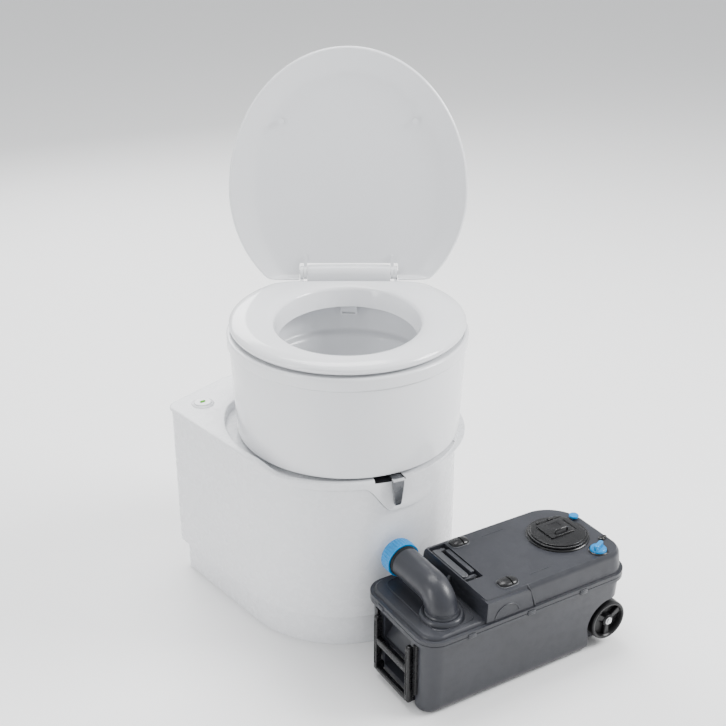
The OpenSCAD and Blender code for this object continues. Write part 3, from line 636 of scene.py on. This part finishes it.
def seat():
    """The crowned ring with its inner skirt, and its two hinge ears."""
    rings = [oval(184, 190, 200, 473.5, 12, 148), oval(187.5, 193.5, 203, 477.5, 12, 150),
             oval(187, 193, 202, 482.5, 12, 150), oval(180, 186, 196, 488, 12, 148),
             oval(163, 172, 180, 491.5, 6, 146), oval(132, 160, 136, 491, -8, 142),
             oval(116, 150, 126, 486.5, -13), oval(110, 143, 119, 455, -13), oval(114, 147, 123, 455, -13),
             oval(121, 155, 131, 473.5, -13)]
    reach = [1.2, 4, 5, 9, 14, 12, 5, 1.4, 1.4, 2]
    ring = solid("seat_ring", *loft(soften(rings, reach, 6, True), True), "seat_white", BOWL, 60)
    ride(ring, "seat", ["seat"])
    inset = COVER_W + LUG_T + 1.2
    for side, x in (("right", inset), ("left", -inset - LUG_T)):
        ride(ear("seat_ear_" + side, x, 478, 489, BOWL), "seat")


def lid():
    """The dished cover with its bevelled rim, cut out round the hinge."""
    w, f, rear, cy = LID_W, LID_F, LID_REAR, LID_CY
    rings = [oval(w - 120, f - 120, rear - 90, 498.6, cy, 150),
             oval(w - 46, f - 46, rear - 14, 498.2, cy, 172),
             oval(w - 36, f - 36, rear - 6, 496.2, cy, 176), oval(w - 4, f - 4, rear, 485, cy, 179),
             oval(w - 0.4, f - 0.4, rear, 487.4, cy, 181.5), oval(w - 0.4, f - 0.4, rear, 492, cy, 181.5),
             oval(w - 7, f - 7, rear, 500, cy, 181), oval(w - 46, f - 46, rear, 505.4, cy, 180.5),
             oval(w - 120, f - 120, rear - 90, 506, cy, 160)]
    made = solid("lid_panel", *loft(soften(rings, [0, 10, 8, 2, 1.6, 3, 7, 20, 0], 5)), "seat_white", LID, 60)
    cut(made, block("notch", -83.5, 83.5, HINGE_Y - 16, 200, 470, 520, "seat_white", LID, 3))
    ride(made, "lid", ["lid"])
    inset = COVER_W + 0.6
    for side, x in (("right", inset), ("left", -inset - LUG_T)):
        ride(ear("lid_ear_" + side, x, 494, 502, LID), "lid")


# ---------- cassette ----------

def cutter(name, x0, x1, y0, y1, z0, z1):
    """A plain box in the cassette, to cut with."""
    return block(name, x0, x1, y0, y1, z0, z1, "dark_inner", CASSETTE, 0)


def arches(extra=0):
    """The two wheel arches, open to the end and below; extra grows them by the wall's thickness."""
    tools = []
    for y0, y1 in ((-10, 32 + extra), (148 - extra, 190)):
        tools += [disc("arch", 0, 0, ARCH_R + extra, y0, y1, "dark_inner", turned(AXLE_X, 0, AXLE_Z), 0, 96),
                  cutter("arch", AXLE_X, 400, y0, y1, -5, AXLE_Z + ARCH_R + extra),
                  cutter("arch", AXLE_X - ARCH_R + 4 - extra, 400, y0, y1, -5, AXLE_Z - 18)]
    return tools


def grooves(extra=0):
    """The grooves under the tank that the pull handle's rods slide in."""
    return [cutter("groove", -1, 170 + extra, y - 6 - extra, y + 6 + extra, -1, 27 + extra) for y in GROOVE_Y]


def hand_recess(extra=0):
    """Hand space behind the pull handle: a sloped recess above its bar and a square one below."""
    high = [(-4, 112 + extra), (20 + extra, 112 + extra), (20 + extra, 100), (3 + extra, 74 - extra),
            (-4, 74 - extra)]
    low = [(-4, 58 + extra), (18 + extra, 58 + extra), (18 + extra, 24 - extra), (-4, 24 - extra)]
    ends = (GROOVE_Y[0] + 8 - extra, GROOVE_Y[1] - 8 + extra)
    return [solid("recess", *loft([[(x, y, z) for x, z in side] for y in ends]), "dark_inner", CASSETTE)
            for side in (high, low)]


def flange(name, z0, z1):
    """The edge that both halves of the tank have at their seam."""
    return plate(name, slab(-6, TANK_L + 6, 0, TANK_W, 0, [34, 66, 34, 34]), z0, z1, "tank_grey", CASSETTE, 0)


def tank_lower():
    """The tub: an outer form less its room, with wheel arches, grooves and hand recess let in."""
    w = TANK_W - 5
    rings = [slab(2, TANK_L - 16, 14, w - 9, 3, [20, 20, 20, 20]),
             slab(0, TANK_L - 12, 9.5, w - 4, 8, [24, 24, 25, 25]),
             slab(0, TANK_L - 8, 8, w - 3, 14, [24, 24, 26, 26]),
             slab(0, TANK_L, 5, w, SEAM - 3, [28, 60, 30, 30])]
    tank = solid("tank_tub", *loft(soften(rings, [0, 3, 3, 0], 3)), "tank_grey", CASSETTE)
    fuse(tank, flange("tank_flange", SEAM - 6, SEAM))
    rings = [slab(3, TANK_L - 12, 14, w - 9, 7, [20, 20, 22, 22]),
             slab(3, TANK_L - 3, 8, w - 3, SEAM + 1, [26, 56, 28, 28])]
    room = solid("room", *loft(rings), "dark_inner", CASSETTE)
    cut(room, *arches(3), *grooves(3), *hand_recess(3))
    cut(tank, room, *arches(), *grooves(), *hand_recess(),
        disc("axle_hole", 0, 0, 4, 0, TANK_W, "dark_inner", turned(AXLE_X, 0, AXLE_Z), 0))
    rounded(tank, 1.1, 2)
    ride(tank, "cassette", ["tank_lower"])


def tank_upper():
    """The top: a low shelf, a higher deck behind a step and a flat cheek beside it, all hollow."""
    w, l, z0 = TANK_W - 5, TANK_L, SEAM + 1
    tank = flange("tank_top", z0, z0 + 6)
    rings = [slab(-1, l, 4, w, z0, [28, 60, 28, 28]), slab(1, l - 1, 6, w - 2, SHELF - 2.5, [28, 60, 26, 26]),
             slab(4, l - 4, 9, w - 5, SHELF, [26, 58, 24, 24])]
    shelf = solid("shelf", *loft(soften(rings, [0, 1.5, 0], 3)), "tank_grey", CASSETTE)
    rings = [slab(STEP_X, l, 4, w, z0 + 2, [28, 62, 3, 3]),
             slab(STEP_X + 2, l - 3, 7, w - 3, DECK - 6, [26, 62, 3, 3]),
             slab(STEP_X + 4, l - 7, 11, w - 7, DECK, [24, 60, 3, 3])]
    deck_top = solid("deck_top", *loft(soften(rings, [0, 4, 0], 4)), "tank_grey", CASSETTE)
    step = [(STEP_X + 0.5, z0 + 2), (186, z0 + 2), (178, DECK - 9), (174, DECK - 4), (STEP_X + 2, DECK - 2)]
    cheek = solid("cheek", *loft([[(x, y, z) for x, z in step] for y in (3.2, 20)]), "tank_grey", CASSETTE)
    fuse(tank, shelf, deck_top, cheek)
    rings = [slab(3, l - 3, 8, w - 3, z0 - 1, [26, 56, 28, 28]),
             slab(5, l - 5, 10, w - 6, SHELF - 3, [26, 56, 24, 24])]
    room = solid("room", *loft(rings), "dark_inner", CASSETTE)
    rings = [slab(STEP_X + 3, l - 4, 9, w - 4, z0, [26, 58, 2, 2]),
             slab(STEP_X + 5, l - 8, 12, w - 8, DECK - 3, [24, 58, 2, 2])]
    fuse(room, solid("room_top", *loft(rings), "dark_inner", CASSETTE))
    x0, x1, y0, y1 = POCKET
    cut(room, cutter("pocket", x0 - 2, x1 + 2.5, y0 - 2.5, y1 + 2, 147.5, 200))
    cut(tank, room, block("pocket", x0, x1, y0, y1, 150, 200, "tank_grey", CASSETTE, 2),
        disc("throat", *SPOUT_AT, 20, 130, 160, "tank_grey", CASSETTE, 0),
        disc("mouth", *MOUTH_AT, 38, 160, 190, "tank_grey", CASSETTE, 0),
        disc("knob_hole", *KNOB_AT, 5.05, 160, 190, "tank_grey", CASSETTE, 0),
        disc("vent_hole", *VENT_AT, 3.3, 160, 190, "tank_grey", CASSETTE, 0))
    rounded(tank, 1.2, 3)
    ride(tank, "cassette", ["tank_upper"])


def tank_details():
    """Ribs, clips and ledges that the tank's halves carry."""
    def fixed(obj):
        ride(obj, "cassette")

    bow = [(136 - 22 * cos(radians(a)), 3.0, SEAM + 9 + 20 * sin(radians(a))) for a in range(0, 171, 6)]
    fixed(cord("cheek_bow", bow, 1.0, "tank_grey", CASSETTE, 10))
    ridge = [(188.5, 3.4, SEAM + 5), (185, 4.2, SEAM + 18), (179.5, 5.6, DECK - 9), (177, 8.5, DECK - 3.4),
             (176.5, 12, DECK - 0.6)]
    fixed(cord("cheek_ridge", ridge, 1.5, "tank_grey", CASSETTE, 10))

    def seam_clip(name, x0, x1, y0, y1):
        fixed(block("seam_clip_" + name, x0, x1, y0, y1, SEAM - 3.5, SEAM + 4, "tank_grey", CASSETTE, 0.9))

    for i, x in enumerate((64, 172, 272)):
        seam_clip(f"near_{i}", x, x + 14, -1.6, 1.4)
        seam_clip(f"far_{i}", x, x + 14, TANK_W - 1.4, TANK_W + 1.6)
    seam_clip("end", -7.6, -4.6, 118, 132)
    ledge = slab(125.5, 133.2, 82, 150, 0, [1.5] * 4, 6)
    fixed(plate("pocket_ledge", ledge, 150, 170.4, "tank_grey", CASSETTE, 0.8))
    web = [(STEP_X + 1.5, SHELF - 1), (STEP_X + 1.5, DECK - 8), (STEP_X - 4, DECK - 14),
           (STEP_X - 17, SHELF - 1)]
    rib = solid("step_rib", *loft([[(x, y, z) for x, z in web] for y in (96, 102)]), "tank_pale", CASSETTE)
    fixed(rounded(rib, 1.2, 3))
    for i, y in enumerate((30, 150)):
        path = [(x, y, DECK - 0.4) for x in (196, 236)]
        fixed(cord(f"deck_rib_{i}", path, 0.9, "tank_grey", CASSETTE, 8))
    sill = slab(22, 92, 17, 163, 0, [16, 8, 16, 16], 10)
    path = [(x, y, SHELF + 0.1) for x, y, _ in sill]
    fixed(solid("shelf_bead", *loft(along(path + path[:1], circle(0.9, 8)), True), "tank_grey", CASSETTE))


def gasket():
    outline = slab(-3.5, TANK_L + 3.5, 2.5, TANK_W - 2.5, 0, [31, 63, 31, 31])
    inner = slab(3, TANK_L - 3, 8, TANK_W - 8, 0, [26, 56, 28, 28])
    low, high = SEAM, SEAM + 1
    rings = [[(p[0], p[1], z) for p in ring]
             for ring, z in ((outline, low), (outline, high), (inner, high), (inner, low))]
    made = solid("seam_gasket", *loft(rings, True), "rubber_black", CASSETTE)
    ride(made, "cassette", ["tank_gasket"])


def spout():
    """The elbow: a turned foot, a round bend and a straight run that ends in a lip."""
    x, y = SPOUT_AT
    z_axis = SPOUT_Z + BEND

    def run(r, foot, length):
        path = [(x, y, foot)]
        for a in range(0, 91, 5):
            path.append((x, y + BEND - BEND * cos(radians(a)), SPOUT_Z + BEND * sin(radians(a))))
        path += [(x, y + BEND + d, z_axis) for d in (20, 44, 66, length)]
        turns = [2 * pi * i / 72 for i in range(72)]
        side = Vector((1, 0, 0))
        last = len(path) - 1
        rings = []
        for k, p in enumerate(path):
            ahead = (Vector(path[min(k + 1, last)]) - Vector(path[max(k - 1, 0)])).normalized()
            up = side.cross(ahead if k else Vector((0, 0, 1)))
            rings.append([Vector(p) + side * r * cos(t) + up * r * sin(t) for t in turns])
        return rings

    body = solid("spout_pipe", *loft(run(SPOUT_R, SHELF + 1, 88)), "tank_grey", CASSETTE, 50)
    profile = [(10, SHELF + 0.4), (26, SHELF + 0.4), (26, SHELF + 6.5), (25.2, SHELF + 8.4),
               (24.2, SHELF + 9.6), (23.9, SHELF + 14), (10, SHELF + 14)]
    foot = lathe("foot", profile, "tank_grey", at(x, y, 0), 72)
    fuse(body, foot)
    cut(body, solid("bore", *loft(run(SPOUT_R - 3, SHELF - 2, 92)), "dark_inner", CASSETTE))
    ride(body, "spout", ["spout_elbow"])
    profile = [(26.05, SHELF), (33.5, SHELF), (33, SHELF + 3), (32, SHELF + 5.4), (30.4, SHELF + 6.8),
               (27.6, SHELF + 7), (26.05, SHELF + 6)]
    collar = lathe("spout_seat", profile, "tank_grey", at(x, y, 0), 72)
    ride(collar, "cassette", ["spout_collar"])
    profile = [(SPOUT_R - 0.5, 66), (SPOUT_R + 0.7, 66.4), (SPOUT_R + 0.8, 70.6), (SPOUT_R - 0.5, 71)]
    seam = lathe("spout_band", profile, "rubber_black", turned(x, y + BEND, z_axis), 72)
    ride(seam, "spout")


def spout_cap():
    """The screw cap, with its knurled rim and its dished end."""
    n, teeth = 216, 36
    profile = ((24.3, 91, 0), (24.3, 72.6, 0), (25.2, 71.8, 0), (27.2, 71.8, 0), (27.9, 73, 0),
               (27.9, 75, 0.3), (27.9, 84, 0.55), (27.8, 91.5, 0.3), (27.4, 93, 0), (25.6, 94, 0),
               (22.4, 94, 0), (21.4, 93, 0), (20.6, 92.4, 0), (0.01, 92.2, 0))
    rings = []
    for r, z, knurl in profile:
        ring = []
        for i in range(n):
            turn = 2 * pi * i / n
            reach = r + knurl * cos(teeth * turn)
            ring.append((reach * cos(turn), reach * sin(turn), z))
        rings.append(ring)
    inner = [[(x * 0.0005, y * 0.0005, 91) for x, y, z in rings[0]]]
    place = turned(SPOUT_AT[0], SPOUT_AT[1] + BEND, SPOUT_Z + BEND)
    cap = solid("cap_shell", *loft(inner + rings), "cap_blue", place, 40)
    grip = block("grip", -19, 19, -2.4, 2.4, 91.8, 94.4, "cap_blue", place, 0.7)
    fuse(cap, grip)
    ride(cap, "spout_cap", ["spout_cap"])


def cover_outline(r, flat_x, flat_y):
    """A round plate with two straight sides."""
    return [(min(x, flat_x), min(y, flat_y)) for x, y in arc(0, 0, r, 0, 357, 119)]


def slide_cover():
    place = at(*MOUTH_AT, DECK + 3.3)
    low = plate("cover_plate", cover_outline(47, 40, 38), 0, 3.2, "trim_black", place, 0.9)
    mid = plate("cover_tier", cover_outline(43.5, 38, 36.5), 3.0, 5.2, "trim_black", place, 0.9)
    top = slab(-24, 22, -15, 25, 0, [2] * 4, 5)
    pad = plate("cover_pad", top, 5, 7.6, "trim_black", place, 0.7)
    fuse(low, mid, pad)
    tools = [block("slot", -20, 34, 28.4, 30.4, 4.4, 9, "trim_black", place, 0),
             block("slot", 26, 28.4, -12, 20, 4.4, 9, "trim_black", place, 0),
             block("slot", -12, 12, 6, 18, 7.0, 9, "trim_black", place, 0)]
    cut(low, *tools)
    low.name = "cover_lid"
    ride(rounded(low, 0.35, 2), "slide_cover", ["slide_cover"])
    half = [(12, 7.2), (12, 10.6), (11.2, 12.2), (9.6, 13)]
    loop = [(-x, -8, z) for x, z in half] + [(x, -8, z) for x, z in reversed(half)]
    latch = solid("cover_loop", *loft(along(loop, circle(1.6, 12))), "trim_black", place, 60)
    ride(latch, "slide_cover", ["cover_latch"])
    for i, x in enumerate((-17, 6)):
        tab = block(f"cover_tab_{i}", x, x + 9, 30.8, 35.4, 5, 6.6, "trim_black", place, 0.6)
        ride(tab, "slide_cover")
    profile = [(42, 0), (50, 0), (49.6, 1.8), (48.4, 2.8), (46, 3), (42, 3)]
    rim = lathe("mouth_rim", profile, "trim_black", at(*MOUTH_AT, DECK), 96)
    ride(rim, "cassette", ["mouth_frame"])


def blade_knob():
    """The blue turning knob with its grip bar, and a shaft down to the blade."""
    place = at(*KNOB_AT, DECK) @ Matrix.Rotation(radians(24), 4, "Z")
    profile = [(0.01, -22), (4.95, -22), (4.95, 0.4), (13, 0.4), (13, 2.6), (12.4, 4.4), (11, 5.6),
               (0.01, 6.2)]
    skirt = lathe("knob_skirt", profile, "cap_blue", place, 64, False)
    bar = slab(-11.8, 11.8, -3.6, 3.6, 0, [3.4] * 4, 8)
    sizes = ((4, 1), (10.6, 0.98), (12.4, 0.9), (13, 0.72))
    rings = [[(x * k, y * k, z) for x, y, _ in bar] for z, k in sizes]
    grip = solid("knob_grip", *loft(soften(rings, 0.8, 3)), "cap_blue", place, 50)
    fuse(skirt, grip)
    skirt.name = "knob"
    ride(rounded(skirt, 0.5, 2), "blade_knob", ["blade_knob"])
    profile = [(13.4, 0), (15.6, 0), (15.2, 1.5), (14.2, 2.1), (13.4, 1.9)]
    cup = lathe("knob_cup", profile, "trim_black", at(*KNOB_AT, DECK), 64)
    ride(cup, "cassette")


def vent():
    profile = [(0.01, -7.3), (3.2, -7.3), (3.2, 0), (8, 0), (8, 1.8), (7.4, 3.0), (5.6, 3.5), (0.01, 3.1)]
    made = lathe("vent_cap", profile, "cap_blue", at(*VENT_AT, DECK + 3.3), 48, False)
    ride(made, "vent_button", ["vent_button"])


def deck_fittings():
    """The cover's hook, and two domed clips on their pads."""
    place = at(352, 48, DECK)
    profile = [(0.01, 0), (5, 0), (5, 2.2), (4, 3), (0.01, 3)]
    hook = lathe("hook_boss", profile, "trim_black", place, 32, False)
    fuse(hook, block("hook_arm", 0, 9, -2.5, 2.5, 1, 4, "trim_black", place, 1))
    ride(hook, "cassette", ["cover_hook"])

    clips = []
    for name, y in (("far", 154), ("near", 30)):
        place = at(154, y, DECK)
        rings = []
        for i in range(13):
            t = i / 12
            s = 1 - 0.42 * (2 * t - 1) ** 4
            rings.append([(-15.6 + 31.2 * t, 11.2 * s * cos(a), max(0, 6.6 * s * sin(a) ** 0.8))
                          for a in [radians(turn) for turn in range(0, 181, 9)]])
        dome = solid("clip_dome", *loft(rings), "trim_black", place, 60)
        outline = slab(-17, 17, -12.5, 12.5, 0, [9] * 4, 8)
        pad = plate("clip_pad_" + name, outline, -0.6, 1.2, "tank_pale", place, 0.8)
        cut(dome, block("clip_slot", 2, 4, -14, 14, 2.2, 12, "trim_black", place, 0))
        ride(pad, "cassette")
        dome.name = "clip_" + name
        clips.append(dome)
    fuse(clips[0], clips[1])
    clips[0].name = "deck_clip_pair"
    ride(rounded(clips[0], 0.5, 2), "cassette", ["deck_clips"])


def carry_handle():
    """The bar with an arm at each end, turning on two pins."""
    outline = slab(106, 118.4, 74, 158, 0, [6, 6, 3, 6], 8)
    made = plate("carry_bar", outline, HANDLE_Z - 1, HANDLE_Z + 8.4, "handle_grey", CASSETTE, 1.4, 4)
    for y in (72, 154):
        eye = disc("eye", 0, 0, 5, 0, 6, "handle_grey", turned(HANDLE_X, y, HANDLE_Z), 0, 40)
        arm = block("arm", 108, HANDLE_X, y, y + 6, HANDLE_Z - 1, HANDLE_Z + 5, "handle_grey", CASSETTE, 0)
        fuse(made, eye, arm)
    cut(made, disc("pin_hole", 0, 0, 2.5, 60, 175, "handle_grey", turned(HANDLE_X, 0, HANDLE_Z), 0, 32))
    ride(rounded(made, 0.5, 2), "carry_handle", ["carry_handle"])


def wheel(node, y0):
    """A tyre-rimmed wheel with three wedge spokes and a bright hub cap on its outer side."""
    name = node + "_body"
    place = turned(AXLE_X, y0, AXLE_Z)
    r = WHEEL_R
    profile = [(r - 5, 0.6), (r - 2.4, 0), (r - 0.6, 1.2), (r, 3), (r, 9), (r - 0.7, 9.8), (r - 0.7, 12.2),
               (r, 13), (r, 19), (r - 0.6, 20.8), (r - 2.4, 22), (r - 5, 21.4), (r - 6.5, 18), (r - 7, 11),
               (r - 6.5, 4)]
    rim = lathe(name, profile, "wheel_black", place, 96)
    web = disc("web", 0, 0, r - 5.5, 9.4, 12.6, "wheel_black", place, 0, 96)
    profile = [(0.01, 0.4), (7.5, 0.4), (9.6, 2), (10, 5), (10, 17), (9.6, 20), (7.5, 21.6), (0.01, 21.6)]
    hub = lathe("hub", profile, "wheel_black", place, 48, False)
    spokes = []
    for turn in (90, 210, 330):
        wedge = [(6, -3), (r - 6, -5.6), (r - 6, 5.6), (6, 3)]
        facing = place @ Matrix.Rotation(radians(turn), 4, "Z")
        spokes.append(plate("spoke", wedge, 3, 19, "wheel_black", facing, 1.2))
    fuse(rim, web, hub, *spokes)
    cut(rim, disc("bore", 0, 0, 4.05, -2, 30, "wheel_black", place, 0, 40))
    ride(rounded(rim, 0.5, 2), node, [node])
    z, out = (21.6, 1) if y0 > TANK_W / 2 else (0.4, -1)
    profile = [(4.1, z - 0.6 * out), (6.4, z - 0.6 * out), (6.2, z + 0.5 * out), (5.2, z + 0.9 * out),
               (4.1, z + 0.9 * out)]
    ride(lathe(name + "_hub_cap", profile, "steel", place, 40), node)


def pull_handle():
    """Two rails with a grip bar and a foot bar between them, and the rods that slide under the tank."""
    made = None
    for y in GROOVE_Y:
        outline = slab(-13, -3, 12, 112, 0, [3, 3, 4.5, 4.5], 6)
        rings = [[(x, side, z) for x, z, _ in outline] for side in (y - 4, y + 4)]
        rail = rounded(solid("rail", *loft(rings), "trim_black", CASSETTE), 1.3, 3)
        settle(rail)
        inset = block("inset", -14, -12.1, y - 1.6, y + 1.6, 26, 104, "trim_black", CASSETTE, 0.4)
        cut(rail, inset)
        rod = block("rod", -4, 150, y - 3, y + 3, 12, 24, "trim_black", CASSETTE, 1)
        fuse(rail, rod)
        made = rail if made is None else fuse(made, rail)
    for z0, z1 in ((62, 74), (12, 20)):
        fuse(made, block("bar", -12.4, -3.6, GROOVE_Y[0] + 2, GROOVE_Y[1] - 2, z0, z1, "trim_black",
                         CASSETTE, 2, 4))
    made.name = "pull_frame"
    ride(made, "pull_handle", ["pull_handle"])


def kept_nodes():
    """The CAD nodes that stay get their material, and their hard edges are eased."""
    slots = {part["node"]: part["material_slot"] for part in frame["record"]["subparts"]}
    for node, obj in frame["nodes"].items():
        if obj.name in bpy.data.objects and not obj.hide_render:
            dress(obj, slots[node])
            rounded(obj, 0.35, 2, 50)


# ---------- stage ----------

def area_light(name, place, target, size, power):
    data = bpy.data.lights.new(name, "AREA")
    data.shape = "RECTANGLE"
    data.size, data.size_y = size
    data.energy = power
    light = bpy.data.objects.new(name, data)
    light.location = place
    light.rotation_euler = (Vector(target) - Vector(place)).to_track_quat("-Z", "Y").to_euler()
    bpy.context.scene.collection.objects.link(light)


def studio():
    """A pale floor, an even sky and four soft lights."""
    floor_r = 16000
    rim = [(x, y, -0.1) for x, y in arc(0, 0, floor_r, 0, 356, 89)]
    ground = solid("ground", rim, [tuple(range(len(rim)))], "floor")
    world = bpy.data.worlds.new("studio")
    world.use_nodes = True
    sky = world.node_tree.nodes["Background"]
    sky.inputs["Color"].default_value = (0.97, 0.985, 1.0, 1)
    sky.inputs["Strength"].default_value = 0.92
    bpy.context.scene.world = world
    middle = (0, -0.05, 0.3)
    area_light("key", (2.1, -1.7, 2.2), middle, (1.3, 1.3), 135)
    area_light("fill", (-2.5, 0.1, 1.1), middle, (0.6, 1.6), 26)
    area_light("top", (0.2, 0.6, 3.0), middle, (2.0, 1.4), 85)
    area_light("back", (0.6, 2.4, 1.6), middle, (1.8, 1.2), 45)


def camera():
    data = bpy.data.cameras.new("camera")
    data.sensor_width = 36
    data.lens = 58.9
    data.shift_y = -0.003
    data.clip_end = 60
    made = bpy.data.objects.new("camera", data)
    made.location = (-1.0904, -1.3369, 1.196)
    made.rotation_euler = (radians(90 - 24.5), 0, radians(-40))
    bpy.context.scene.collection.objects.link(made)
    bpy.context.scene.camera = made


base()
deck()
button()
lever()
bowl()
hump()
seat()
lid()
tank_lower()
tank_upper()
tank_details()
gasket()
spout()
spout_cap()
slide_cover()
blade_knob()
vent()
deck_fittings()
carry_handle()
wheel("wheel_near", 5)
wheel("wheel_far", 153)
pull_handle()
kept_nodes()
studio()
camera()
